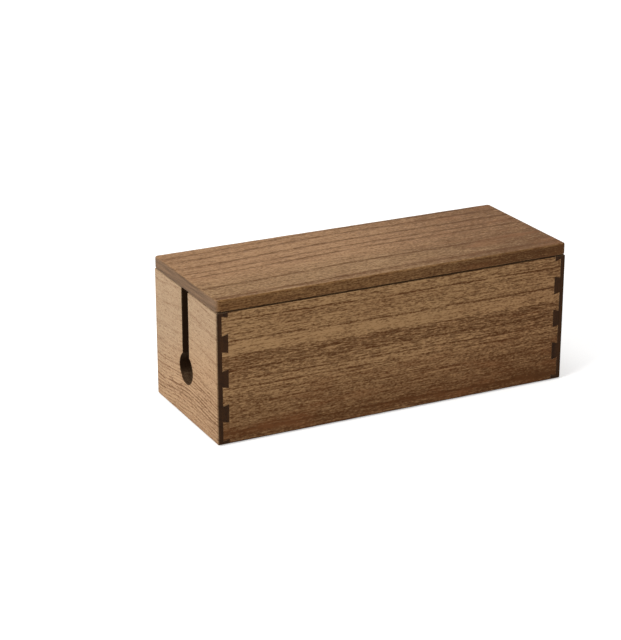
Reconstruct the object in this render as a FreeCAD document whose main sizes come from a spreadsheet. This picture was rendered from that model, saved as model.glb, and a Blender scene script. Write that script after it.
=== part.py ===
# Wooden cable box: half-blind dovetailed walls with a keyhole slot in each end, a floor in grooves,
# and a lift-off lid that two cross battens keep in place. Millimetres, +Z up, X along the box, front at -Y.
# The origin is on the table, under the middle of the box.
import FreeCAD, Part
import os
import Sketcher

os.makedirs("parts", exist_ok=True)
doc = FreeCAD.newDocument("cable_box")

sizes = {
    "box_length": 310.0,  # outside, across the two end panels
    "box_width": 120.0,  # outside, across the front and back panels
    "wall_height": 107.5,
    "side_thickness": 9.5,  # front and back panels
    "end_thickness": 9.5,
    "lap_thickness": 4.3,  # wood left outside the tails, the dark strip at each corner
    "tail_count": 4,  # tails to a corner
    "pin_width": 15.0,  # where the pin meets the inside of the box
    "half_pin": 4.25,  # the narrower pin at the top and bottom of a corner
    "tail_slope": 0.25,  # sideways for each millimetre of tail, the joiner's 1 in 4
    "glue_gap": 0.1,  # beside each tail and past its tip
    "arris_radius": 1.2,  # eased outside corners of the walls
    "rim_radius": 0.5,  # eased mouth of the keyhole slot
    "slot_width": 12.5,
    "hole_diameter": 25.5,
    "hole_height": 42.0,  # hole centre above the bottom edge of the wall
    "floor_thickness": 5.0,
    "floor_recess": 4.0,  # floor's underside above the bottom edge of the wall
    "groove_depth": 4.0,
    "groove_play": 0.2,  # over the floor and past its edges
    "lid_thickness": 10.0,
    "lid_arris_radius": 1.5,
    "lid_corner_radius": 3.0,
    "batten_width": 18.0,
    "batten_thickness": 8.0,
    "batten_play": 1.0,  # from each batten to the walls round it
    "batten_arris_radius": 1.5,
    "screw_spacing": 60.0,  # two screws in each batten
    "screw_diameter": 3.0,
    "screw_head_diameter": 6.0,
    "screw_bite": 6.0,  # how far the screw reaches into the lid
    "screw_sink": 0.3,  # head below the face of the batten
    "screw_play": 0.1,  # all round the shank
    "recess_span": 3.2,  # cross recess in the screw head
    "recess_width": 0.8,
    "recess_depth": 1.2,
    "foot_diameter": 12.0,
    "foot_taper": 1.0,  # the foot is this much smaller in radius at the table
    "foot_round": 0.8,
    "foot_stand": 0.8,  # walls' bottom edge above the table
    "foot_inset": 6.0,  # from the inside of the walls to the foot
}

sheet = doc.addObject("Spreadsheet::Sheet", "dims")
for line, (alias, value) in enumerate(sizes.items(), start=1):
    sheet.set(f"A{line}", alias)
    sheet.set(f"B{line}", str(value))
    sheet.setAlias(f"B{line}", alias)
doc.recompute()

# Layout of a corner, from the bottom up: half pin, tail, pin, tail ... tail, half pin.
tail_root = "((dims.wall_height - 2 * dims.half_pin + dims.pin_width) / dims.tail_count - dims.pin_width)"
tail_pitch = f"({tail_root} + dims.pin_width)"
tail_length = "(dims.end_thickness - dims.lap_thickness)"
tail_flare = f"({tail_length} * dims.tail_slope)"

half_length = "(dims.box_length / 2)"
half_width = "(dims.box_width / 2)"
inside_length = "(dims.box_length - 2 * dims.end_thickness)"
inside_width = "(dims.box_width - 2 * dims.side_thickness)"
rim_level = "(dims.foot_stand + dims.wall_height)"
batten_middle = f"({inside_length} / 2 - dims.batten_play - dims.batten_width / 2)"
screw_length = "(dims.batten_thickness + dims.screw_bite - dims.screw_sink)"


def size(expression):
    return float(sheet.evalExpression(expression))


def new_body(label, place, turned=0):
    # place gives the body's X, Y and Z as expressions; turned is degrees about Z
    body = doc.addObject("PartDesign::Body", label)
    body.Label = label
    up = FreeCAD.Vector(0, 0, 1)
    body.Placement = FreeCAD.Placement(FreeCAD.Vector(0, 0, 0), FreeCAD.Rotation(up, turned))
    for axis, expression in zip("xyz", place):
        body.setExpression(f"Placement.Base.{axis}", expression)
    return body


def origin_feature(body, role):
    return next(part for part in body.Origin.OriginFeatures if part.Role == role)


def new_sketch(body, role, name, lift="0"):
    # lift moves the sketch along its plane's own normal
    sketch = body.newObject("Sketcher::SketchObject", name)
    sketch.AttachmentSupport = (origin_feature(body, role), [""])
    sketch.MapMode = "FlatFace"
    if lift != "0":
        sketch.setExpression("AttachmentOffset.Base.z", lift)
    return sketch


def pin_point(sketch, geometry, point, x, y):
    # hold one point of a sketch at two expressions, measured from the sketch's origin
    for kind, expression, axis in (("DistanceX", x, -2), ("DistanceY", y, -1)):
        if expression == "0":
            sketch.addConstraint(Sketcher.Constraint("PointOnObject", geometry, point, axis))
            continue
        value = size(expression)
        index = sketch.addConstraint(Sketcher.Constraint(kind, -1, 1, geometry, point, value))
        sketch.setExpression(f"Constraints[{index}]", expression)


def add_polygon(sketch, corners):
    first = sketch.GeometryCount
    count = len(corners)
    points = [FreeCAD.Vector(size(x), size(y), 0) for x, y in corners]
    for here, there in zip(points, points[1:] + points[:1]):
        sketch.addGeometry(Part.LineSegment(here, there), False)
    for side in range(count):
        after = first + (side + 1) % count
        sketch.addConstraint(Sketcher.Constraint("Coincident", first + side, 2, after, 1))
    for side, (x, y) in enumerate(corners):
        pin_point(sketch, first + side, 1, x, y)


def add_rectangle(sketch, left, right, low, high):
    add_polygon(sketch, [(left, low), (right, low), (right, high), (left, high)])


def add_circle(sketch, x, y, diameter):
    centre = FreeCAD.Vector(size(x), size(y), 0)
    flat = FreeCAD.Vector(0, 0, 1)
    circle = sketch.addGeometry(Part.Circle(centre, flat, size(diameter) / 2), False)
    pin_point(sketch, circle, 3, x, y)
    index = sketch.addConstraint(Sketcher.Constraint("Diameter", circle, size(diameter)))
    sketch.setExpression(f"Constraints[{index}]", diameter)


def extrude(body, kind, sketch, name, depth, towards):
    # kind is Pad or Pocket, and towards is 1 or -1 along the body's axis square to the sketch;
    # a sketch on XZ faces -Y, the others face +X and +Z, and a pocket runs against its sketch's face
    feature = body.newObject(f"PartDesign::{kind}", name)
    feature.Profile = sketch
    facing = -1 if sketch.AttachmentSupport[0][0].Role == "XZ_Plane" else 1
    feature.Reversed = (kind == "Pocket") == (facing == towards)
    feature.setExpression("Length", depth)
    doc.recompute()
    return feature


def pad(body, sketch, name, depth):
    return extrude(body, "Pad", sketch, name, depth, 1)


def cut(body, sketch, name, depth, towards=1):
    before = body.Tip.Shape.Volume
    feature = extrude(body, "Pocket", sketch, name, depth, towards)
    if feature.Shape.Volume >= before:
        raise RuntimeError(f"{body.Label}: {name} removed nothing")
    return feature


def revolve(body, sketch, name):
    feature = body.newObject("PartDesign::Revolution", name)
    feature.Profile = sketch
    feature.ReferenceAxis = (sketch, ["V_Axis"])
    feature.Angle = 360
    doc.recompute()
    return feature


def ease(body, kind, name, amount, chosen):
    # round or chamfer each edge whose middle point is chosen
    base = body.Tip
    names = []
    for number, edge in enumerate(base.Shape.Edges, start=1):
        if chosen(edge.valueAt((edge.FirstParameter + edge.LastParameter) / 2)):
            names.append(f"Edge{number}")
    if not names:
        raise RuntimeError(f"{body.Label}: {name} found no edge")
    feature = body.newObject(f"PartDesign::{kind}", name)
    feature.Base = (base, names)
    feature.setExpression("Radius" if kind == "Fillet" else "Size", amount)
    doc.recompute()
    return feature


def near(value, expression):
    return abs(value - size(expression)) < 1e-4


def repeat(body, feature, name, steps):
    # steps holds one (sketch, axis name, length, copies) for each direction, at most two
    pattern = body.newObject("PartDesign::LinearPattern", name)
    pattern.Originals = [feature]
    for suffix, (sketch, axis, length, copies) in zip(("", "2"), steps):
        setattr(pattern, f"Direction{suffix}", (sketch, [axis]))
        pattern.setExpression(f"Length{suffix}", length)
        pattern.setExpression(f"Occurrences{suffix}", copies)
    body.Tip = pattern
    doc.recompute()
    return pattern


def make_side_panel(label, y, turned):
    # front or back wall: its outer face is at local y = 0 and its tails point along X
    body = new_body(label, ("0", y, "dims.foot_stand"), turned)
    tip = f"({half_length} - dims.lap_thickness - dims.glue_gap)"
    board = new_sketch(body, "XZ_Plane", f"{label}_outline")
    add_rectangle(board, f"-{tip}", tip, "0", "dims.wall_height")
    pad(body, board, f"{label}_board", "dims.side_thickness")
    ease(body, "Fillet", f"{label}_arris", "dims.arris_radius", lambda middle: near(middle.y, "0")
         and (near(middle.z, "0") or near(middle.z, "dims.wall_height")))

    # the gap for a pin, once at each end, narrower towards the tail's tip
    root = f"({half_length} - dims.end_thickness)"
    mouth = f"({half_length} - dims.lap_thickness)"
    wide = "(dims.pin_width / 2 + dims.glue_gap)"
    narrow = f"({wide} - {tail_flare})"
    lowest = "(dims.half_pin - dims.pin_width / 2)"
    gap = new_sketch(body, "XZ_Plane", f"{label}_pin_gap_outline")
    for side in ("", "-"):
        add_polygon(gap, [
            (f"{side}{root}", f"{lowest} - {wide}"),
            (f"{side}{mouth}", f"{lowest} - {narrow}"),
            (f"{side}{mouth}", f"{lowest} + {narrow}"),
            (f"{side}{root}", f"{lowest} + {wide}"),
        ])
    pin_gap = cut(body, gap, f"{label}_pin_gap", "dims.side_thickness")
    repeat(body, pin_gap, f"{label}_pin_gaps",
           [(gap, "V_Axis", f"{tail_pitch} * dims.tail_count", "dims.tail_count + 1")])

    groove_end = f"({inside_length} / 2 + dims.groove_depth)"
    groove = new_sketch(body, "XY_Plane", f"{label}_groove_outline", "dims.floor_recess")
    add_rectangle(groove, f"-{groove_end}", groove_end,
                  "dims.side_thickness - dims.groove_depth", "dims.side_thickness")
    cut(body, groove, f"{label}_groove", "dims.floor_thickness + dims.groove_play")
    return body


def make_end_panel(label, x, turned):
    # short wall: its outer face is at local x = 0; the sockets for the tails leave the pins standing
    body = new_body(label, (x, "0", "dims.foot_stand"), turned)
    board = new_sketch(body, "YZ_Plane", f"{label}_outline")
    add_rectangle(board, f"-{half_width}", half_width, "0", "dims.wall_height")
    pad(body, board, f"{label}_board", "dims.end_thickness")
    ease(body, "Fillet", f"{label}_arris", "dims.arris_radius",
         lambda middle: not near(middle.x, "dims.end_thickness"))

    slot = new_sketch(body, "YZ_Plane", f"{label}_slot_outline")
    half_slot = "dims.slot_width / 2"
    add_rectangle(slot, f"-{half_slot}", half_slot, "dims.hole_height", "dims.wall_height")
    cut(body, slot, f"{label}_slot", "dims.end_thickness")
    hole = new_sketch(body, "YZ_Plane", f"{label}_hole_outline")
    add_circle(hole, "0", "dims.hole_height", "dims.hole_diameter")
    cut(body, hole, f"{label}_hole", "dims.end_thickness")
    mouth = size("dims.hole_diameter / 2 + dims.rim_radius")
    ease(body, "Fillet", f"{label}_rim", "dims.rim_radius",
         lambda middle: near(middle.x, "0") and abs(middle.y) <= mouth)

    # tail sockets in both upright ends of the board, wider towards the lap
    middle = f"(dims.half_pin + {tail_root} / 2)"
    for side, lift, inwards in (("front", half_width, 1), ("back", f"-{half_width}", -1)):
        outline = new_sketch(body, "XZ_Plane", f"{label}_{side}_socket_outline", lift)
        add_polygon(outline, [
            ("dims.lap_thickness", f"{middle} - {tail_root} / 2 - {tail_flare}"),
            ("dims.end_thickness", f"{middle} - {tail_root} / 2"),
            ("dims.end_thickness", f"{middle} + {tail_root} / 2"),
            ("dims.lap_thickness", f"{middle} + {tail_root} / 2 + {tail_flare}"),
        ])
        socket = cut(body, outline, f"{label}_{side}_socket", "dims.side_thickness", inwards)
        repeat(body, socket, f"{label}_{side}_sockets",
               [(outline, "V_Axis", f"{tail_pitch} * (dims.tail_count - 1)", "dims.tail_count")])

    groove_end = f"({inside_width} / 2 + dims.groove_depth)"
    groove = new_sketch(body, "XY_Plane", f"{label}_groove_outline", "dims.floor_recess")
    add_rectangle(groove, "dims.end_thickness - dims.groove_depth", "dims.end_thickness",
                  f"-{groove_end}", groove_end)
    cut(body, groove, f"{label}_groove", "dims.floor_thickness + dims.groove_play")
    return body


def make_floor():
    body = new_body("base_panel", ("0", "0", "dims.foot_stand + dims.floor_recess"))
    x = f"({inside_length} / 2 + dims.groove_depth - dims.groove_play)"
    y = f"({inside_width} / 2 + dims.groove_depth - dims.groove_play)"
    board = new_sketch(body, "XY_Plane", "base_panel_outline")
    add_rectangle(board, f"-{x}", x, f"-{y}", y)
    pad(body, board, "base_panel_board", "dims.floor_thickness")
    return body


def make_foot(label, x_side, y_side):
    # a bumper on the underside of the floor, standing on the table
    in_from_wall = "(dims.foot_inset + dims.foot_diameter / 2)"
    x = f"{x_side} * ({inside_length} / 2 - {in_from_wall})"
    y = f"{y_side} * ({inside_width} / 2 - {in_from_wall})"
    body = new_body(label, (x, y, "0"))
    outline = new_sketch(body, "XZ_Plane", f"{label}_outline")
    top = "dims.foot_stand + dims.floor_recess"
    add_polygon(outline, [
        ("0", "0"),
        ("dims.foot_diameter / 2 - dims.foot_taper", "0"),
        ("dims.foot_diameter / 2", top),
        ("0", top),
    ])
    revolve(body, outline, f"{label}_bumper")
    ease(body, "Fillet", f"{label}_round", "dims.foot_round", lambda middle: near(middle.z, "0"))
    return body


def make_lid():
    body = new_body("lid_board", ("0", "0", rim_level))
    board = new_sketch(body, "XY_Plane", "lid_board_outline")
    add_rectangle(board, f"-{half_length}", half_length, f"-{half_width}", half_width)
    pad(body, board, "lid_board_slab", "dims.lid_thickness")
    ease(body, "Fillet", "lid_board_corners", "dims.lid_corner_radius",
         lambda middle: near(abs(middle.x), half_length) and near(abs(middle.y), half_width))
    ease(body, "Fillet", "lid_board_arris", "dims.lid_arris_radius",
         lambda middle: near(middle.z, "0") or near(middle.z, "dims.lid_thickness"))

    pilot = new_sketch(body, "XY_Plane", "lid_board_pilot_outline")
    add_circle(pilot, f"-{batten_middle}", "-dims.screw_spacing / 2",
               "dims.screw_diameter + 2 * dims.screw_play")
    pilot_hole = cut(body, pilot, "lid_board_pilot", "dims.screw_bite + dims.screw_play")
    repeat(body, pilot_hole, "lid_board_pilots", [
        (pilot, "H_Axis", f"2 * {batten_middle}", "2"),
        (pilot, "V_Axis", "dims.screw_spacing", "2"),
    ])
    return body


def make_batten(label, side):
    # a strip across the underside of the lid, just inside an end panel
    body = new_body(label, (f"{side} * {batten_middle}", "0", f"{rim_level} - dims.batten_thickness"))
    half = "dims.batten_width / 2"
    reach = f"({inside_width} / 2 - dims.batten_play)"
    strip = new_sketch(body, "XY_Plane", f"{label}_outline")
    add_rectangle(strip, f"-{half}", half, f"-{reach}", reach)
    pad(body, strip, f"{label}_strip", "dims.batten_thickness")
    ease(body, "Fillet", f"{label}_arris", "dims.batten_arris_radius", lambda middle: near(middle.z, "0"))

    hole = new_sketch(body, "XY_Plane", f"{label}_hole_outline")
    for end in ("-", ""):
        add_circle(hole, "0", f"{end}dims.screw_spacing / 2", "dims.screw_diameter + 2 * dims.screw_play")
    cut(body, hole, f"{label}_holes", "dims.batten_thickness")
    ease(body, "Chamfer", f"{label}_countersinks",
         "(dims.screw_head_diameter - dims.screw_diameter) / 2 + dims.screw_sink",
         lambda middle: near(middle.z, "0") and abs(middle.x) < size("dims.screw_diameter"))
    return body


def make_screws():
    # four countersunk screws, head down, drawn at one corner and repeated
    body = new_body("batten_screws", (f"-{batten_middle}", "-dims.screw_spacing / 2",
                                      f"{rim_level} - dims.batten_thickness + dims.screw_sink"))
    head = "dims.screw_head_diameter / 2"
    shank = "dims.screw_diameter / 2"
    outline = new_sketch(body, "XZ_Plane", "batten_screws_outline")
    add_polygon(outline, [
        ("0", "0"),
        (head, "0"),
        (shank, f"{head} - {shank}"),
        (shank, f"{screw_length} - {shank}"),
        ("0", screw_length),
    ])
    revolve(body, outline, "batten_screws_turned")
    arm = "dims.recess_span / 2"
    half = "dims.recess_width / 2"
    cross = new_sketch(body, "XY_Plane", "batten_screws_cross_outline")
    add_polygon(cross, [
        (f"-{arm}", f"-{half}"), (f"-{half}", f"-{half}"), (f"-{half}", f"-{arm}"),
        (half, f"-{arm}"), (half, f"-{half}"), (arm, f"-{half}"),
        (arm, half), (half, half), (half, arm),
        (f"-{half}", arm), (f"-{half}", half), (f"-{arm}", half),
    ])
    recess = cut(body, cross, "batten_screws_cross", "dims.recess_depth")
    pattern = repeat(body, recess, "batten_screws_set", [
        (cross, "H_Axis", f"2 * {batten_middle}", "2"),
        (cross, "V_Axis", "dims.screw_spacing", "2"),
    ])
    pattern.TransformMode = "Whole shape"
    doc.recompute()
    return body


nodes = [
    make_side_panel("front_panel", f"-{half_width}", 0),
    make_side_panel("back_panel", half_width, 180),
    make_end_panel("left_end_panel", f"-{half_length}", 0),
    make_end_panel("right_end_panel", half_length, 180),
    make_floor(),
    make_lid(),
    make_batten("left_batten", -1),
    make_batten("right_batten", 1),
    make_screws(),
]
for depth_name, y_side in (("front", -1), ("back", 1)):
    for side_name, x_side in (("left", -1), ("right", 1)):
        nodes.append(make_foot(f"foot_{depth_name}_{side_name}", x_side, y_side))

doc.recompute()
for thing in doc.Objects:
    if "Invalid" in thing.State or "Error" in thing.State:
        raise RuntimeError(f"{thing.Label} failed: {thing.State}")
for body in nodes:
    if body.Shape.isNull() or not body.Shape.isValid():
        raise RuntimeError(f"{body.Label} has no valid shape")
for body in nodes:
    body.Shape.exportStep(f"parts/{body.Label}.step")
    box = body.Shape.BoundBox
    print(f"{body.Label}: {len(body.Shape.Solids)} solid, {body.Shape.Volume:.1f} mm3, "
          f"x {box.XMin:.2f} to {box.XMax:.2f}, y {box.YMin:.2f} to {box.YMax:.2f}, "
          f"z {box.ZMin:.2f} to {box.ZMax:.2f}")
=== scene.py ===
import math
import bpy
import bmesh
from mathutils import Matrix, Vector, noise


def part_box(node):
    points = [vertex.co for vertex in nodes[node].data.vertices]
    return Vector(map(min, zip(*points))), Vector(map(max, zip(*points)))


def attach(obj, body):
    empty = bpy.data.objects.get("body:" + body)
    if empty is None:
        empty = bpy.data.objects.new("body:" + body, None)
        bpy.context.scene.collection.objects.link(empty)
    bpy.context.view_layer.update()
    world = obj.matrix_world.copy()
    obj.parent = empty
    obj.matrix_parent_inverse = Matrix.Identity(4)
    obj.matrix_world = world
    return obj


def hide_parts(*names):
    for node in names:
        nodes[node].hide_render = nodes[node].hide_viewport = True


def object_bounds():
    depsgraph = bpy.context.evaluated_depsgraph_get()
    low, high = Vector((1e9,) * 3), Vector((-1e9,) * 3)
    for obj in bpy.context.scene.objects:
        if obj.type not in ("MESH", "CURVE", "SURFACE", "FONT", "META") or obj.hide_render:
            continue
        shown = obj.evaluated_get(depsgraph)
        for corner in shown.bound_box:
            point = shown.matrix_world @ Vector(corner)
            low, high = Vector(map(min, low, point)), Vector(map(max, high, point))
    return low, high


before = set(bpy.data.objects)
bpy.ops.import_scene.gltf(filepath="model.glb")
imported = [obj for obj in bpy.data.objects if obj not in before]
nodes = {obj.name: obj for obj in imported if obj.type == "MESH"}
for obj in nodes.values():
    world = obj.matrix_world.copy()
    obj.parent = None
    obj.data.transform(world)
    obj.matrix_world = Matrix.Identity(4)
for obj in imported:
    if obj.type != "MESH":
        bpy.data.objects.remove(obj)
cadBox = [list(corner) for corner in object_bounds()]  # the CAD model's own box, before anything is added
millimetre = 0.001
boxLow, boxHigh = (Vector(corner) for corner in cadBox)
print("frame loaded:", len(nodes), "nodes")

# Camera: placed by ten corners of the box in the photograph.
cameraSettings = {
    "place": (-0.7176, -1.3367, 0.6217),  # metres
    "turn": 26.67,  # degrees to the right of straight on
    "tilt": 20.40,  # degrees down
    "focalPixels": 1994.5,
    "frameLongSide": 640,  # pixels
    "sensor": 36.0,  # millimetres
}


def makeCamera():
    data = bpy.data.cameras.new("camera")
    data.sensor_width = cameraSettings["sensor"]
    data.lens = cameraSettings["focalPixels"] * cameraSettings["sensor"] / cameraSettings["frameLongSide"]
    camera = bpy.data.objects.new("camera", data)
    camera.location = cameraSettings["place"]
    pitch, heading = math.radians(90 - cameraSettings["tilt"]), math.radians(-cameraSettings["turn"])
    camera.rotation_euler = (pitch, 0, heading)
    bpy.context.scene.collection.objects.link(camera)
    bpy.context.scene.camera = camera


makeCamera()


# Small helpers for shader nodes: an input is a number, a tuple or another node's output.
def fillInputs(tree, node, values):
    for name, value in values.items():
        socket = node.inputs[name]
        if isinstance(value, bpy.types.NodeSocket):
            tree.links.new(value, socket)
        else:
            socket.default_value = value


def addNode(tree, kind, inputs=None, **settings):
    node = tree.nodes.new(kind)
    for name, value in settings.items():
        setattr(node, name, value)
    fillInputs(tree, node, inputs or {})
    return node


def calculate(tree, operation, *inputs, clamp=False):
    node = addNode(tree, "ShaderNodeMath", dict(enumerate(inputs)), operation=operation, use_clamp=clamp)
    return node.outputs[0]


def calculateVector(tree, operation, *inputs):
    node = addNode(tree, "ShaderNodeVectorMath", dict(enumerate(inputs)), operation=operation)
    return node.outputs[0]


def remap(tree, value, fromLow, fromHigh, toLow=0.0, toHigh=1.0, smooth=True):
    node = addNode(tree, "ShaderNodeMapRange", interpolation_type="SMOOTHSTEP" if smooth else "LINEAR")
    fillInputs(tree, node, {"Value": value, "From Min": fromLow, "From Max": fromHigh,
                            "To Min": toLow, "To Max": toHigh})
    return node.outputs["Result"]


def mixColour(tree, factor, under, over, blend="MIX"):
    node = addNode(tree, "ShaderNodeMix", data_type="RGBA", blend_type=blend)
    fillInputs(tree, node, {0: factor, 6: under, 7: over})
    return node.outputs[2]


def streaks(tree, place, along, across, detail=2.0, roughness=0.5):
    # noise drawn out along the grain; along and across are its size in millimetres
    stretched = calculateVector(tree, "MULTIPLY", place, (1 / along, 1 / across, 1 / across))
    node = addNode(tree, "ShaderNodeTexNoise", {"Vector": stretched, "Scale": 1.0, "Detail": detail,
                                                "Roughness": roughness})
    return node.outputs["Fac"]


def flecks(tree, place, along, across, radius):
    # one dash in each cell of a pattern drawn out along the grain; radius is a share of the cell
    stretched = calculateVector(tree, "MULTIPLY", place, (1 / along, 1 / across, 1 / across))
    cells = addNode(tree, "ShaderNodeTexVoronoi", {"Vector": stretched, "Scale": 1.0})
    softEdge = 0.14
    return remap(tree, cells.outputs["Distance"], radius, calculate(tree, "ADD", radius, softEdge), 1.0, 0.0)


def centred(tree, value, amount, onto):
    # onto + amount * (value - 0.5), for noise that goes both ways
    return calculate(tree, "MULTIPLY_ADD", calculate(tree, "SUBTRACT", value, 0.5), amount, onto)


def newGroup(name, inputs, outputs):
    group = bpy.data.node_groups.new(name, "ShaderNodeTree")
    kinds = {"vector": "NodeSocketVector", "value": "NodeSocketFloat", "colour": "NodeSocketColor"}
    for socketName, kind, default in inputs:
        socket = group.interface.new_socket(name=socketName, in_out="INPUT", socket_type=kinds[kind])
        if default is not None:
            socket.default_value = default
    for socketName, kind in outputs:
        group.interface.new_socket(name=socketName, in_out="OUTPUT", socket_type=kinds[kind])
    entry = group.nodes.new("NodeGroupInput")
    leave = group.nodes.new("NodeGroupOutput")
    return group, entry.outputs, leave


# Wood: one solid pattern that runs through the whole board. Place is in millimetres, along the grain,
# across it and through the board. Lines rises to a growth line's strength in its middle, and Ring is the
# position across the growth lines, in millimetres.
grainSettings = {
    # noise drawn out along the grain: length and width in millimetres, detail and roughness
    "fibre": (20.0, 1.6, 3.0, 0.75),
    "hair": (18.0, 0.85, 1.0),
    "grit": (2.2, 0.9, 1.0),
    "cloud": (60.0, 14.0, 2.0),
    "ripple": (16.0, 7.0, 2.0),
    "layers": (40.0, 2.2),  # the growth layers that end grain shows
    "layerStretch": (1.0, 0.05, 1.0),  # the layers run across the board's end
    "ringDrift": (45.0, 9.0, 2.0),
    "ringPatches": (36.0, 3.5),
    # cells that hold one pore each: length and width in millimetres
    "shortPores": (6.5, 1.0),
    "longPores": (16.0, 1.1),
    # how strongly each darkens the face
    "darkening": (("fibre", 0.38), ("hair", 1.5), ("grit", 2.0), ("cloud", 0.32), ("ripple", 0.1)),
    "ringDarkening": 0.34,
    "lineDarkening": 0.85,
    "poreDarkening": 0.63,
    "endPoreDarkening": 0.4,
    "ringSpacing": 2.9,  # millimetres
    "ringSway": 3.0,  # millimetres
    "ringRise": (0.35, 0.9),  # the part of each ring over which it darkens
    "ringDrop": (1.0, 0.92),  # and over which it turns pale again
    # where a noise or the tone starts and ends an effect, and how strong the effect is there
    "ringPatchFade": (0.3, 0.6, 0.25, 1.0),
    "redFade": (0.45, 0.75),
    "redByTone": (0.35, 0.8, 0.1, 0.6),
    "rubbedFade": (0.35, 0.6, 0.0, 0.3),
    "paintedShadeFade": (0.25, 0.6, 1.0, 0.88),
    # a pore's radius: its least, then what crowding, growth lines and fine rings add
    "poreRadius": 0.13,
    "poreCrowding": 0.28,
    "poreInLine": 0.08,
    "poreInRing": 0.10,
    "longPoreShare": 0.62,  # a long pore's radius, as a share of a short one's
    # end grain's tone: how far the layers and hairs move it, and what a growth line takes off
    "layerContrast": 1.5,
    "hairContrast": 0.7,
    "endLine": -0.45,
    # colours, the two tints as a share of the colour under them
    "poreTint": (0.7, 0.66, 0.6, 1),
    "edgeTint": (0.68, 0.58, 0.43, 1),
    "endPoreColour": (0.006, 0.003, 0.0015, 1),
    # the colour of the painted shade
    "paintedShadeColour": (0.021, 0.0086, 0.0024, 1),
    # finish: the roughness from and to this much fibre, what pores and the painted shade add, and the relief
    "fibreRoughness": (0.2, 0.8, 0.56, 0.68),
    "poreRoughness": 0.15,
    "paintedShadeRoughness": 0.25,
    "fibreHeight": 0.06,
    "hairHeight": 0.03,
    "poreHeight": -0.10,
}


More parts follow.
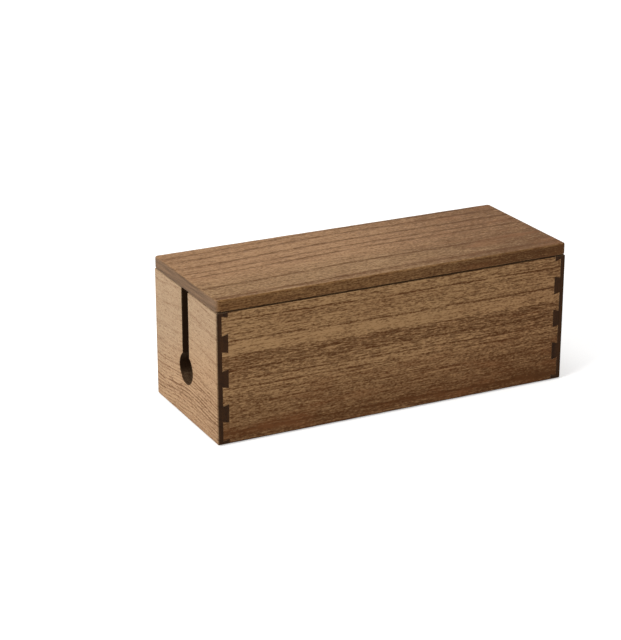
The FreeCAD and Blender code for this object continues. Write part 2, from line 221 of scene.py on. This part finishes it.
def buildWoodGroup():
    group, given, leave = newGroup("torchedWood", [
        ("Place", "vector", None),
        ("Ring", "value", 0.0),
        ("Lines", "value", 0.0),
        ("Tone", "value", 0.5),  # broad light and dark bands
        ("Crowd", "value", 0.5),  # how closely the pores stand
        ("Fine Rings", "value", 0.3),
        ("Texture", "value", 1.0),  # how strongly the fibres show
        ("End Grain", "value", 0.0),
        ("Painted Shade", "value", 0.0),  # painted shade in the keyhole, the seam under the lid, the end panels' upright corners and the foot
        ("Wear", "value", 0.0),  # rubbed arrises
        ("Edge Darkness", "value", 0.0),  # the lid's long edges
        ("Light Colour", "colour", (0.4, 0.25, 0.14, 1)),
        ("Dark Colour", "colour", (0.12, 0.06, 0.03, 1)),
        ("Red Colour", "colour", (0.2, 0.08, 0.04, 1)),
        ("End Colour", "colour", (0.05, 0.025, 0.012, 1)),
    ], [("Colour", "colour"), ("Roughness", "value"), ("Height", "value")])
    place = given["Place"]
    looks = grainSettings
    noises = {name: streaks(group, place, *looks[name]) for name, amount in looks["darkening"]}
    fibre, hair, cloud, ripple = (noises[name] for name in ("fibre", "hair", "cloud", "ripple"))
    stretched = calculateVector(group, "MULTIPLY", place, looks["layerStretch"])
    layers = streaks(group, stretched, *looks["layers"])

    # fine rings: a sawtooth across the grain, pale at first and dark just before it drops
    drift = centred(group, streaks(group, place, *looks["ringDrift"]), looks["ringSway"], given["Ring"])
    tooth = calculate(group, "FRACT", calculate(group, "DIVIDE", drift, looks["ringSpacing"]))
    tooth = calculate(group, "MULTIPLY", remap(group, tooth, *looks["ringRise"]),
                      remap(group, tooth, *looks["ringDrop"]))
    patchy = remap(group, streaks(group, place, *looks["ringPatches"]), *looks["ringPatchFade"])
    tooth = calculate(group, "MULTIPLY", calculate(group, "MULTIPLY", tooth, patchy), given["Fine Rings"])

    # pores: short and long dashes, wider where they crowd
    radius = calculate(group, "MULTIPLY_ADD", given["Crowd"], looks["poreCrowding"], looks["poreRadius"])
    radius = calculate(group, "MULTIPLY_ADD", given["Lines"], looks["poreInLine"], radius)
    radius = calculate(group, "MULTIPLY_ADD", tooth, looks["poreInRing"], radius)
    longRadius = calculate(group, "MULTIPLY", radius, looks["longPoreShare"])
    pore = calculate(group, "MAXIMUM", flecks(group, place, *looks["shortPores"], radius),
                     flecks(group, place, *looks["longPores"], longRadius))

    # face: from the light colour to the dark one, redder in places, paler where it is rubbed
    shade = given["Tone"]
    for name, amount in looks["darkening"]:
        strength = calculate(group, "MULTIPLY", given["Texture"], amount)
        shade = centred(group, noises[name], strength, shade)
    shade = calculate(group, "MULTIPLY_ADD", tooth, looks["ringDarkening"], shade)
    shade = calculate(group, "MULTIPLY_ADD", given["Lines"], looks["lineDarkening"], shade, clamp=True)
    face = mixColour(group, shade, given["Light Colour"], given["Dark Colour"])
    reddest = remap(group, given["Tone"], *looks["redByTone"])
    redness = calculate(group, "MULTIPLY", remap(group, cloud, *looks["redFade"]), reddest)
    face = mixColour(group, redness, face, given["Red Colour"])
    rubbed = calculate(group, "MULTIPLY", given["Wear"], remap(group, ripple, *looks["rubbedFade"]))
    face = mixColour(group, rubbed, face, given["Light Colour"])
    poreColour = mixColour(group, 1.0, given["Dark Colour"], looks["poreTint"], "MULTIPLY")
    face = mixColour(group, calculate(group, "MULTIPLY", pore, looks["poreDarkening"]), face, poreColour)
    face = mixColour(group, given["Edge Darkness"], face, looks["edgeTint"], "MULTIPLY")

    # end grain
    endTone = centred(group, layers, looks["layerContrast"], 1.0)
    endTone = centred(group, hair, looks["hairContrast"], endTone)
    endTone = calculate(group, "MULTIPLY_ADD", given["Lines"], looks["endLine"], endTone)
    endFace = mixColour(group, 1.0, given["End Colour"], endTone, "MULTIPLY")
    endPore = calculate(group, "MULTIPLY", pore, looks["endPoreDarkening"])
    endFace = mixColour(group, endPore, endFace, looks["endPoreColour"])

    # painted shade lies over both
    colour = mixColour(group, given["End Grain"], face, endFace)
    paintedShadeAmount = calculate(group, "MULTIPLY", given["Painted Shade"], remap(group, ripple, *looks["paintedShadeFade"]))
    colour = mixColour(group, paintedShadeAmount, colour, looks["paintedShadeColour"])

    roughness = remap(group, fibre, *looks["fibreRoughness"])
    roughness = calculate(group, "MULTIPLY_ADD", pore, looks["poreRoughness"], roughness)
    roughness = calculate(group, "MULTIPLY_ADD", given["Painted Shade"], looks["paintedShadeRoughness"], roughness)
    height = calculate(group, "MULTIPLY", fibre, looks["fibreHeight"])
    height = calculate(group, "MULTIPLY_ADD", pore, looks["poreHeight"], height)
    height = calculate(group, "MULTIPLY_ADD", hair, looks["hairHeight"], height)
    fillInputs(group, leave, {"Colour": colour, "Roughness": roughness, "Height": height})
    return group


woodGroup = buildWoodGroup()


def lineRamp(tree, position, span, lines):
    # a ramp across the board with one dark line at each growth ring; all in millimetres
    ramp = addNode(tree, "ShaderNodeValToRGB")
    low, high = span
    tree.links.new(remap(tree, position, low, high, smooth=False), ramp.inputs["Fac"])
    stops = ramp.color_ramp.elements
    stops[0].position, stops[1].position = 0.0, 1.0
    stops[0].color = stops[1].color = (0, 0, 0, 1)
    for centre, strength, before, after in lines:
        for offset, value in ((-before, 0.0), (0.0, strength), (after, 0.0)):
            stop = stops.new((centre + offset - low) / (high - low))
            stop.color = (value, value, value, 1)
    return ramp.outputs["Color"]


def bandRamp(tree, position, bands, column):
    # a smooth ramp through one column of the bands: place, darkness, pores, fine rings
    ramp = addNode(tree, "ShaderNodeValToRGB")
    low, high = bands[0][0], bands[-1][0]
    tree.links.new(remap(tree, position, low, high, smooth=False), ramp.inputs["Fac"])
    ramp.color_ramp.interpolation = "EASE"
    stops = ramp.color_ramp.elements
    stops[0].position, stops[1].position = 0.0, 1.0
    for stop, band in ((stops[0], bands[0]), (stops[1], bands[-1])):
        stop.color = (band[column],) * 3 + (1,)
    for band in bands[1:-1]:
        stop = stops.new((band[0] - low) / (high - low))
        stop.color = (band[column],) * 3 + (1,)
    return ramp.outputs["Color"]


finishSettings = {
    "ior": 1.4,
    "specularLevel": 0.18,  # an oiled surface with little shine
    "seedStep": (173.0, 61.0, 37.0),  # millimetres between one board's place in the wood and the next's
    "wanderNoise": (40.0, 2.0, 0.45),  # width in millimetres, detail, roughness
    "lineBreaks": (24.0, 3.0, 2.0),  # the patches in which growth lines fade
    "lineFade": (0.3, 0.6, 0.6, 1.0),
    "bumpStrength": 0.8,
}


def woodMaterial(name, wood):
    material = bpy.data.materials.new(name)
    material.use_nodes = True
    tree = material.node_tree
    shader = tree.nodes["Principled BSDF"]
    shader.inputs["IOR"].default_value = finishSettings["ior"]
    shader.inputs["Specular IOR Level"].default_value = finishSettings["specularLevel"]
    here = addNode(tree, "ShaderNodeTexCoord").outputs["Object"]
    inMillimetres = calculateVector(tree, "MULTIPLY", here, (1 / millimetre,) * 3)
    split = addNode(tree, "ShaderNodeSeparateXYZ", {"Vector": inMillimetres}).outputs
    along, across, through = (split["XYZ".index(axis)] for axis in wood["axes"])
    shifted = addNode(tree, "ShaderNodeCombineXYZ", {
        index: calculate(tree, "ADD", value, wood["seed"] * step)
        for index, (value, step) in enumerate(zip((along, across, through), finishSettings["seedStep"]))})
    shifted = shifted.outputs[0]
    # the growth lines wander, bend along the board, and lean through its thickness
    wander = streaks(tree, shifted, wood["wanderLength"], *finishSettings["wanderNoise"])
    position = centred(tree, wander, wood["wander"], across)
    for start, end, rise, fan in wood["bends"]:
        amount = calculate(tree, "MULTIPLY_ADD", across, fan, rise)
        bend = calculate(tree, "MULTIPLY", remap(tree, along, start, end), amount)
        position = calculate(tree, "ADD", position, bend)
    depth = calculate(tree, "SUBTRACT", through, wood["face"])
    position = calculate(tree, "MULTIPLY_ADD", depth, wood["lean"], position)
    broken = remap(tree, streaks(tree, shifted, *finishSettings["lineBreaks"]), *finishSettings["lineFade"])
    lines = calculate(tree, "MULTIPLY", lineRamp(tree, position, wood["span"], wood["lines"]), broken)
    # the light wood changes colour across the board
    second, alongShare, acrossShare, start, end = wood["second"]
    lengthwise = calculate(tree, "MULTIPLY", along, alongShare)
    change = calculate(tree, "MULTIPLY_ADD", position, acrossShare, lengthwise)
    light = mixColour(tree, remap(tree, change, start, end), wood["light"], second)
    # the bands, which also darken along the board
    tone, crowd, fineRings = (bandRamp(tree, position, wood["bands"], column) for column in (1, 2, 3))
    # the bands, which also darken along the board: on the lid, and the base panel that copies it, this
    # darkening towards the right end is a painted sheen on the left end; on the walls it is their own tone
    low, high = wood["alongRange"]
    tone = calculate(tree, "ADD", tone, remap(tree, along, low, high, 0.0, wood["darkerAlongWithSheen"]))
    grain = addNode(tree, "ShaderNodeGroup", node_tree=woodGroup)
    fillInputs(tree, grain, {
        "Place": shifted, "Ring": position, "Lines": lines, "Tone": tone, "Crowd": crowd,
        "Fine Rings": fineRings, "Texture": remap(tree, position, *wood["texture"]),
        "Light Colour": light, "Dark Colour": wood["dark"], "Red Colour": wood["red"],
        "End Colour": wood["end"]})
    marks = {"End Grain": "endGrain", "Painted Shade": "paintedShade", "Wear": "wear", "Edge Darkness": "edge"}
    for socket, mark in marks.items():
        marked = addNode(tree, "ShaderNodeAttribute", attribute_name=mark).outputs["Fac"]
        fillInputs(tree, grain, {socket: marked})
    bump = addNode(tree, "ShaderNodeBump", {"Height": grain.outputs["Height"], "Distance": millimetre,
                                            "Strength": finishSettings["bumpStrength"]})
    fillInputs(tree, shader, {"Base Color": grain.outputs["Colour"], "Roughness": grain.outputs["Roughness"],
                              "Normal": bump.outputs["Normal"]})
    return material


# Boards: each is a merged copy of its CAD node, with its sharp edges softened and its arrises rubbed.
boardSettings = {
    "mergeWithin": 1e-6,  # metres
    "flatAngle": 0.5,  # degrees; faces that turn less than this become one
    "soften": 0.3 * millimetre,  # how far a bevel reaches from the sharp edge
    "softenAngle": 40,  # degrees; edges sharper than this get the softening
    "sliceEvery": 4 * millimetre,  # so that an arris has points that can be rubbed
    "rub": 0.14 * millimetre,  # how deep, where the noise and rubMore come to 1
    "rubAngle": 8,  # degrees; points on edges sharper than this are rubbed
    "rubLength": 9 * millimetre,
    "rubMore": 0.3,  # raises the noise, so that most of an arris is rubbed
    "seedStep": 7.3,
}
markSettings = {
    "rounded": 0.985,  # a face whose normal has no larger part than this is part of an arris
    "endGrain": (0.8, 0.97),  # how far a face looks along the grain where end grain starts and is full
    "lidEndGrain": (0.2, 0.9),
    "keyholeRadius": 12.9 * millimetre,
    "keyholeHeight": 42.8 * millimetre,
    "slotShare": 0.52,  # half of the slot's width, as a share of the radius
    "tipShare": 0.6,  # the hole's tip, where the light falls, is painted paler; it starts this share of the radius below its centre
    "keyholeWall": 0.7,  # faces that look along the box less than this are the keyhole's walls
    "keyholePaintedShade": 1.0,  # 1 is dark all over, painted shade on the keyhole's walls
    # the hole's tip gets less painted shade, as painted light where the light falls on it
    "tipPaintedShade": 0.9,
    "seam": 0.75 * millimetre,  # how far the painted shade of the seam under the lid reaches, up and down
    "frontSeamShade": 0.9,
    "endSeamShade": 0.3,
    "chippedLength": 13 * millimetre,  # round the front left corner the seam's painted shade is wider and ragged, where it also paints small chips
    "chipSize": 2.5 * millimetre,
    "chipWidth": (1.3, 2.4, 0.2),  # least widening, what the noise adds, and what raises the noise
    "corner": 58.5 * millimetre,  # painted shade on the end panels' upright arrises from here out
    "cornerShade": 0.5,
    "foot": 2.2 * millimetre,  # painted shade on the bottom arris up to here
    "footShade": 0.4,
    "lidEdge": 0.35,  # the lid is darker where it faces the front or back more than this
    "lidEdgeFade": 0.35,  # the share of that darkness that is gone at the right end
}


def keyholePaintedShade(normal, centre):
    # painted shade on the walls of an end panel's slot and hole, a little paler at the hole's lit tip, 0
    # elsewhere
    if abs(normal.x) >= markSettings["keyholeWall"]:
        return 0.0
    radius, height = markSettings["keyholeRadius"], markSettings["keyholeHeight"]
    if math.hypot(centre.y, centre.z - height) < radius:
        inTip = centre.z < height - radius * markSettings["tipShare"]
        return markSettings["tipPaintedShade" if inTip else "keyholePaintedShade"]
    inSlot = abs(centre.y) < radius * markSettings["slotShare"] and centre.z > height
    return markSettings["keyholePaintedShade"] if inSlot else 0.0


def arrisPaintedShade(normal, centre, isEnd, rim):
    # painted shade on arrises: the seam under the lid, an end panel's upright corners, the foot
    reach = markSettings["seam"]
    if (centre - Vector((boxLow.x, boxLow.y, rim))).length < markSettings["chippedLength"]:
        least, more, raised = markSettings["chipWidth"]
        reach *= least + more * max(0.0, noise.noise(centre / markSettings["chipSize"]) + raised)
    if abs(centre.z - rim) < reach:
        return markSettings["frontSeamShade" if abs(normal.y) > abs(normal.x) else "endSeamShade"]
    if isEnd and abs(centre.y) > markSettings["corner"]:
        return markSettings["cornerShade"]
    return markSettings["footShade"] if centre.z < markSettings["foot"] else 0.0


def markFaces(bm, grainAxis, nodeName):
    # what each face shows: end grain, painted shade, a rubbed arris, the lid's darker edge
    endGrain = bm.faces.layers.float.new("endGrain")
    paintedShade = bm.faces.layers.float.new("paintedShade")
    wear = bm.faces.layers.float.new("wear")
    edge = bm.faces.layers.float.new("edge")
    isLid, isEnd = nodeName == "lid_board", nodeName.endswith("end_panel")
    endFrom, endFull = markSettings["lidEndGrain" if isLid else "endGrain"]
    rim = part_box("lid_board")[0].z
    for part in bm.faces:
        part.smooth = True
        normal, centre = part.normal, part.calc_center_median()
        part[endGrain] = min(1.0, max(0.0, (abs(normal[grainAxis]) - endFrom) / (endFull - endFrom)))
        rounded = max(abs(value) for value in normal) < markSettings["rounded"]
        arris = arrisPaintedShade(normal, centre, isEnd, rim) if rounded else 0.0
        # painted shade in the keyhole and on the shaded arrises
        part[paintedShade] = (keyholePaintedShade(normal, centre) if isEnd else 0.0) or arris
        part[wear] = 1.0 if rounded and arris == 0.0 else 0.0
        if isLid and abs(normal.y) > markSettings["lidEdge"]:
            rightward = (centre.x - boxLow.x) / (boxHigh.x - boxLow.x)
            part[edge] = 1.0 - markSettings["lidEdgeFade"] * rightward


def softenBoard(nodeName, grainAxis, seed):
    bm = bmesh.new()
    bm.from_mesh(nodes[nodeName].data)
    bmesh.ops.remove_doubles(bm, verts=bm.verts, dist=boardSettings["mergeWithin"])
    bmesh.ops.dissolve_limit(bm, angle_limit=math.radians(boardSettings["flatAngle"]), verts=bm.verts,
                             edges=bm.edges, use_dissolve_boundaries=False)
    sharp = [edge for edge in bm.edges
             if edge.is_manifold and edge.calc_face_angle() > math.radians(boardSettings["softenAngle"])]
    bmesh.ops.bevel(bm, geom=sharp, offset=boardSettings["soften"], offset_type="OFFSET", segments=2,
                    profile=0.5, affect="EDGES", material=-1, clamp_overlap=True)
    low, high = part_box(nodeName)
    axis = Vector((0, 0, 0))
    axis[grainAxis] = 1
    count = int((high - low)[grainAxis] / boardSettings["sliceEvery"])
    for step in range(1, count):
        point = low.lerp(high, step / count)
        bmesh.ops.bisect_plane(bm, geom=bm.verts[:] + bm.edges[:] + bm.faces[:],
                               dist=boardSettings["mergeWithin"], plane_co=point, plane_no=axis)
    bm.normal_update()
    apart = Vector((seed * boardSettings["seedStep"], 0, 0))  # so that no two boards wear alike
    for vertex in bm.verts:
        turns = [edge.calc_face_angle(0) for edge in vertex.link_edges if edge.is_manifold]
        if max(turns, default=0) > math.radians(boardSettings["rubAngle"]):
            rub = noise.noise(vertex.co / boardSettings["rubLength"] + apart) + boardSettings["rubMore"]
            vertex.co -= vertex.normal * boardSettings["rub"] * max(0.0, rub)
    bm.normal_update()
    markFaces(bm, grainAxis, nodeName)
    mesh = bpy.data.meshes.new(nodeName + "_board")
    bm.to_mesh(mesh)
    bm.free()
    board = bpy.data.objects.new(nodeName + "_board", mesh)
    bpy.context.scene.collection.objects.link(board)
    weighted = board.modifiers.new("even shading", "WEIGHTED_NORMAL")
    weighted.keep_sharp = True
    return board


# One dictionary for each board. Every place is in millimetres: along the board for alongRange and bends,
# through it for face, and across its grain for the rest. Lean is how far the lines move for each millimetre
# of depth behind the face. Lines are (place, strength, fade in, fade out), bands are (place, darkness,
# pores, fine rings), bends are (start, end, rise, fan), and texture is (start, end, strength at the start,
# strength at the end). Second is the colour that the light wood turns to, how much of the place along and
# across counts for the turn, and its start and end.
scorchedEnd = (0.037, 0.0138, 0.0032, 1)
lidWood = {
    "node": "lid_board", "body": "lid", "slot": "lid_wood", "axes": "XYZ", "grainAxis": 0, "seed": 1,
    "span": (-75.0, 75.0), "face": 118.3, "lean": 9.0, "wander": 3.0, "wanderLength": 120.0,
    # the lid darkens towards its right end, so that its left end reads lighter as a painted sheen
    "bends": [(-160.0, 10.0, -8.0, -0.05)], "alongRange": (-20.0, 160.0), "darkerAlongWithSheen": 0.5,
    "lines": [(-55.0, 0.8, 5.0, 1.4), (-31.0, 0.9, 3.0, 1.4), (-3.5, 0.9, 3.0, 1.4), (5.5, 0.8, 3.0, 1.4),
              (19.0, 0.9, 4.0, 1.4), (35.0, 0.8, 3.5, 1.4), (46.0, 0.6, 2.5, 1.4), (66.0, 0.6, 2.5, 1.4)],
    "bands": [(-75.0, 0.50, 0.2, 0.3), (-50.0, 0.42, 0.1, 0.2), (-25.0, 0.40, 0.1, 0.1),
              (-14.0, 0.28, 0.1, 0.15), (0.0, 0.21, 0.1, 0.15), (20.0, 0.21, 0.15, 0.3),
              (75.0, 0.34, 0.15, 0.3)],
    "light": (0.392, 0.225, 0.113, 1), "dark": (0.115, 0.048, 0.0135, 1), "red": (0.262, 0.118, 0.050, 1),
    "end": (0.160, 0.095, 0.053, 1), "texture": (-20.0, 60.0, 0.95, 0.85),
    "second": ((0.378, 0.232, 0.114, 1), 0.0, -1.0, 5.0, 40.0),
}
frontWood = {
    "node": "front_panel", "body": "box", "slot": "wall_wood", "axes": "XZY", "grainAxis": 0, "seed": 2,
    "span": (-10.0, 120.0), "face": -60.0, "lean": 0.6, "wander": 3.6, "wanderLength": 150.0,
    "bends": [(-160.0, 160.0, 2.5, 0.0)], "alongRange": (30.0, 165.0), "darkerAlongWithSheen": 0.18,
    "lines": [(10.0, 0.7, 1.4, 1.2), (32.0, 0.3, 1.2, 1.0), (46.0, 0.7, 1.1, 0.9), (52.0, 0.75, 1.2, 0.8),
              (60.5, 0.5, 1.1, 0.8), (84.0, 0.85, 1.5, 0.8), (101.0, 0.9, 1.3, 0.7)],
    "bands": [(-10.0, 0.92, 0.2, 0.5), (10.0, 0.78, 0.2, 0.4), (22.0, 0.66, 0.1, 0.2),
              (38.0, 0.53, 0.15, 0.3), (49.0, 0.29, 0.3, 0.4), (56.0, 0.37, 0.6, 0.5),
              (65.0, 0.40, 0.8, 0.7), (71.0, 0.41, 0.8, 0.7), (74.0, 0.11, 0.2, 0.3), (79.0, 0.08, 0.0, 0.2),
              (84.0, 0.20, 0.3, 0.4), (97.0, 0.20, 0.4, 0.4), (120.0, 0.32, 0.5, 0.4)],
    "light": (0.404, 0.235, 0.106, 1), "dark": (0.100, 0.0360, 0.0082, 1), "red": (0.200, 0.074, 0.024, 1),
    "end": scorchedEnd, "texture": (8.0, 50.0, 0.7, 1.0),
    "second": ((0.406, 0.227, 0.102, 1), 1.0, -1.0, -60.0, 60.0),
}
leftWood = {
    "node": "left_end_panel", "body": "box", "slot": "wall_wood", "axes": "YZX", "grainAxis": 1, "seed": 3,
    "span": (-15.0, 125.0), "face": -155.0, "lean": 0.4, "wander": 5.0, "wanderLength": 55.0,
    "bends": [(-60.0, -10.0, -4.0, 0.0), (-10.0, 60.0, 7.0, 0.0)],
    "alongRange": (-60.0, 60.0), "darkerAlongWithSheen": -0.06,
    "lines": [(17.0, 0.6, 1.8, 0.9), (23.0, 0.6, 1.8, 0.9), (34.0, 0.5, 1.8, 0.9), (41.0, 0.5, 1.8, 0.9),
              (53.0, 0.3, 2.0, 0.9), (67.0, 0.35, 2.5, 1.0), (88.0, 0.4, 2.0, 0.8), (104.0, 0.3, 2.0, 0.8)],
    "bands": [(-15.0, 0.24, 0.15, 1.3), (8.0, 0.22, 0.1, 1.4), (15.0, 0.26, 0.3, 1.6),
              (25.0, 0.14, 0.15, 1.6), (36.0, 0.16, 0.1, 1.3),
              (50.0, 0.19, 0.0, 0.6), (70.0, 0.19, 0.0, 0.2), (100.0, 0.22, 0.0, 0.12),
              (125.0, 0.20, 0.0, 0.1)],
    "light": (0.402, 0.280, 0.172, 1), "dark": (0.160, 0.075, 0.033, 1), "red": (0.310, 0.160, 0.085, 1),
    "end": scorchedEnd, "texture": (20.0, 60.0, 0.7, 0.5),
    "second": ((0.424, 0.271, 0.151, 1), -0.5, -1.5, -130.0, -40.0),
}
backWood = dict(frontWood, node="back_panel", seed=4, face=60.0, lean=-0.6,
                bends=[(-160.0, 160.0, 6.0, 0.03)])
rightWood = dict(leftWood, node="right_end_panel", seed=5, face=155.0, lean=-0.4,
                 bends=[(-60.0, 10.0, 6.0, 0.0), (10.0, 60.0, -4.0, 0.0)])
floorWood = dict(lidWood, node="base_panel", body="box", slot="floor_wood", seed=6, face=9.8, wander=7.0,
                 bends=[(-160.0, 160.0, -7.0, 0.05)])
leftBattenWood = dict(leftWood, node="left_batten", body="lid", slot="batten_wood", axes="YXZ", seed=7,
                      span=(-170.0, -100.0), face=100.3, wander=4.0, bends=[(-60.0, 60.0, 3.0, 0.0)],
                      lines=[(-141.0, 0.6, 2.0, 0.8), (-134.0, 0.5, 2.0, 0.8), (-128.0, 0.6, 2.0, 0.8)],
                      bands=[(-170.0, 0.4, 0.3, 0.4), (-135.0, 0.35, 0.3, 0.4), (-100.0, 0.45, 0.3, 0.4)])
rightBattenWood = dict(leftBattenWood, node="right_batten", seed=8, span=(100.0, 170.0),
                       lines=[(129.0, 0.6, 2.0, 0.8), (136.0, 0.5, 2.0, 0.8), (142.0, 0.6, 2.0, 0.8)],
                       bands=[(100.0, 0.45, 0.3, 0.4), (135.0, 0.35, 0.3, 0.4), (170.0, 0.4, 0.3, 0.4)])

for wood in (lidWood, frontWood, leftWood, backWood, rightWood, floorWood, leftBattenWood, rightBattenWood):
    board = softenBoard(wood["node"], wood["grainAxis"], wood["seed"])
    board.data.materials.append(woodMaterial(wood["node"] + "_wood", wood))
    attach(board, wood["body"])
    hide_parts(wood["node"])
print("boards softened and grained")


# Screws and feet keep their CAD shape and get their finish.
metalFinish = {
    "stainScale": 900.0,  # per metre
    "stainDetail": 3.0,
    "yellow": (0.62, 0.56, 0.42, 1),
    "grey": (0.46, 0.44, 0.38, 1),
    "roughness": (0.2, 0.8, 0.28, 0.45),  # from and to this much stain, and the roughness there
}
rubberFinish = {
    "speckScale": 2500.0,  # per metre
    "speckDetail": 2.0,
    "dark": (0.018, 0.018, 0.019, 1),
    "pale": (0.035, 0.034, 0.033, 1),
    "roughness": (0.2, 0.8, 0.6, 0.75),
    "bumpDepth": 0.05 * millimetre,
    "bumpStrength": 0.6,
}


def metalMaterial():
    material = bpy.data.materials.new("zincPlatedSteel")
    material.use_nodes = True
    tree = material.node_tree
    shader = tree.nodes["Principled BSDF"]
    shader.inputs["Metallic"].default_value = 1.0
    here = addNode(tree, "ShaderNodeTexCoord").outputs["Object"]
    stain = addNode(tree, "ShaderNodeTexNoise", {"Vector": here, "Scale": metalFinish["stainScale"],
                                                 "Detail": metalFinish["stainDetail"]}).outputs["Fac"]
    colour = mixColour(tree, stain, metalFinish["yellow"], metalFinish["grey"])
    roughness = remap(tree, stain, *metalFinish["roughness"])
    fillInputs(tree, shader, {"Base Color": colour, "Roughness": roughness})
    return material


def rubberMaterial():
    material = bpy.data.materials.new("bumperRubber")
    material.use_nodes = True
    tree = material.node_tree
    shader = tree.nodes["Principled BSDF"]
    here = addNode(tree, "ShaderNodeTexCoord").outputs["Object"]
    speck = addNode(tree, "ShaderNodeTexNoise", {"Vector": here, "Scale": rubberFinish["speckScale"],
                                                 "Detail": rubberFinish["speckDetail"]}).outputs["Fac"]
    colour = mixColour(tree, speck, rubberFinish["dark"], rubberFinish["pale"])
    roughness = remap(tree, speck, *rubberFinish["roughness"])
    bump = addNode(tree, "ShaderNodeBump", {"Height": speck, "Distance": rubberFinish["bumpDepth"],
                                            "Strength": rubberFinish["bumpStrength"]})
    fillInputs(tree, shader, {"Base Color": colour, "Roughness": roughness,
                              "Normal": bump.outputs["Normal"]})
    return material


def dress(nodeName, material):
    data = nodes[nodeName].data
    data.materials.clear()
    data.materials.append(material)


dress("batten_screws", metalMaterial())
rubber = rubberMaterial()
for name in nodes:
    if name.startswith("foot_"):
        dress(name, rubber)
print("screws and feet finished")


# Floor, world and lamps.
studio = {
    "floorSize": 8.0,  # metres
    "floorColour": (0.80, 0.80, 0.80, 1),
    "floorLift": 0.5,  # added where the camera sees the floor, so that it reads white
    "farLift": 1.0,  # the same, far from the box, so that no grey horizon shows
    "liftRange": (0.8, 2.2),  # metres from the box over which one turns to the other
    "worldStrength": 0.34,
}
lamps = [
    {"name": "key", "place": (-2.9, -0.75, 1.5), "size": 1.6, "power": 90.0, "colour": (1.0, 0.985, 0.96)},
    {"name": "top", "place": (-0.3, 0.3, 2.8), "size": 1.8, "power": 30.0, "colour": (1.0, 1.0, 1.0)},
]


def makeFloor():
    bm = bmesh.new()
    bmesh.ops.create_grid(bm, x_segments=1, y_segments=1, size=studio["floorSize"] / 2)
    mesh = bpy.data.meshes.new("floor")
    bm.to_mesh(mesh)
    bm.free()
    floor = bpy.data.objects.new("floor", mesh)
    bpy.context.scene.collection.objects.link(floor)
    material = bpy.data.materials.new("floorPaint")
    material.use_nodes = True
    tree = material.node_tree
    tree.nodes.remove(tree.nodes["Principled BSDF"])
    matt = addNode(tree, "ShaderNodeBsdfDiffuse", {"Color": studio["floorColour"]})
    seen = addNode(tree, "ShaderNodeLightPath").outputs["Is Camera Ray"]
    here = addNode(tree, "ShaderNodeTexCoord").outputs["Object"]
    distance = addNode(tree, "ShaderNodeVectorMath", {0: here}, operation="LENGTH").outputs["Value"]
    level = remap(tree, distance, *studio["liftRange"], studio["floorLift"], studio["farLift"])
    lift = addNode(tree, "ShaderNodeEmission", {"Strength": calculate(tree, "MULTIPLY", seen, level)})
    both = addNode(tree, "ShaderNodeAddShader", {0: matt.outputs[0], 1: lift.outputs[0]})
    tree.links.new(both.outputs[0], tree.nodes["Material Output"].inputs["Surface"])
    mesh.materials.append(material)


def makeWorld():
    world = bpy.data.worlds.new("studio")
    world.use_nodes = True
    tree = world.node_tree
    path = addNode(tree, "ShaderNodeLightPath").outputs
    shown = calculate(tree, "MAXIMUM", path["Is Camera Ray"], path["Is Glossy Ray"])
    white = 1.0  # what the camera and mirrors see, while the world lights the box less
    strength = remap(tree, shown, 0.0, 1.0, studio["worldStrength"], white, smooth=False)
    fillInputs(tree, tree.nodes["Background"], {"Color": (1, 1, 1, 1), "Strength": strength})
    bpy.context.scene.world = world


def makeLamps():
    middle = (boxLow + boxHigh) / 2
    for lamp in lamps:
        data = bpy.data.lights.new(lamp["name"], "AREA")
        data.shape = "DISK"
        data.size = lamp["size"]
        data.energy = lamp["power"]
        data.color = lamp["colour"]
        light = bpy.data.objects.new(lamp["name"], data)
        light.location = lamp["place"]
        light.rotation_euler = (middle - light.location).to_track_quat("-Z", "Y").to_euler()
        bpy.context.scene.collection.objects.link(light)


makeFloor()
makeWorld()
makeLamps()
bpy.context.scene.view_settings.view_transform = "Standard"
print("studio lit")
